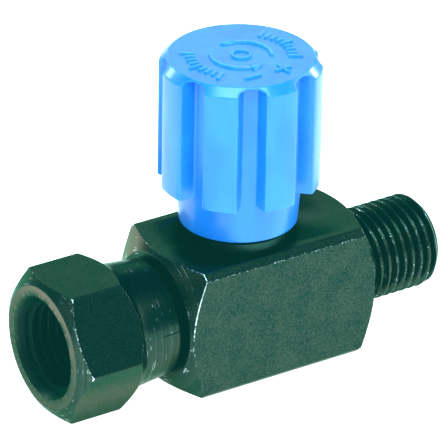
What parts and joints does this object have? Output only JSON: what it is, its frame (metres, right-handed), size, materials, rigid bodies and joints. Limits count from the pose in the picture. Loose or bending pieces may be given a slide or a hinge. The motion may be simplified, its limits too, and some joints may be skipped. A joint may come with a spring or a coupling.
{
  "type": "needle valve",
  "caption": "In-line needle valve: square steel body, swivelling hexagon nut with female thread, male thread outlet, fluted blue knob on a rising stem.",
  "frame": {"origin": "the point where the stem axis meets the body's bottom face, on the surface that the valve rests on", "axes": "+X along the flow axis, from the swivel nut towards the male thread; +Z along the stem, towards the knob; +Y completes the right-handed frame"},
  "size_m": [0.0611, 0.022, 0.0451],
  "materials": {
    "blackened_steel": "black oxide, satin, lightly oiled, bright on worn edges",
    "bonnet_steel": "black oxide, turned",
    "stainless_steel": "fine turned",
    "hardened_steel": "ground",
    "screw_steel": "black oxide",
    "bronze": "turned",
    "seal_rubber": "smooth nitrile",
    "ptfe": "waxy white",
    "blue_plastic": "moulded, satin gloss"
  },
  "bodies": {
    "valve": {"valve_body": "blackened_steel", "swivel_o_ring": "seal_rubber", "swivel_backup_ring": "ptfe", "swivel_slip_ring": "bronze", "seat_insert": "stainless_steel", "bonnet": "bonnet_steel", "bonnet_o_ring": "seal_rubber", "bonnet_lock_pin": "stainless_steel", "dust_seal": "seal_rubber"},
    "nut": {"swivel_nut": "blackened_steel"},
    "stem_seals": {"stem_o_ring": "seal_rubber", "stem_backup_lower": "ptfe", "stem_backup_upper": "ptfe"},
    "control": {"valve_stem": "stainless_steel", "needle_tip": "hardened_steel", "knob": "blue_plastic", "knob_insert": "bronze", "knob_set_screw": "screw_steel"}
  },
  "joints": [
    {"name": "nut_swivel", "type": "hinge", "parent": "valve", "child": "nut", "pos_m": [-0.022, 0, 0.0095], "axis": [1, 0, 0], "continuous": true},
    {"name": "stem_rise", "type": "slide", "parent": "valve", "child": "stem_seals", "axis": [0, 0, 1], "range_m": [0, 0.004]},
    {"name": "knob_turn", "type": "hinge", "parent": "stem_seals", "child": "control", "pos_m": [0, 0, 0.033], "axis": [0, 0, 1], "range_deg": [0, 1259.9]}
  ],
  "couplings": [
    {"joint": "stem_rise", "follows": "knob_turn", "m_per_rad": 0.00015915}
  ]
}
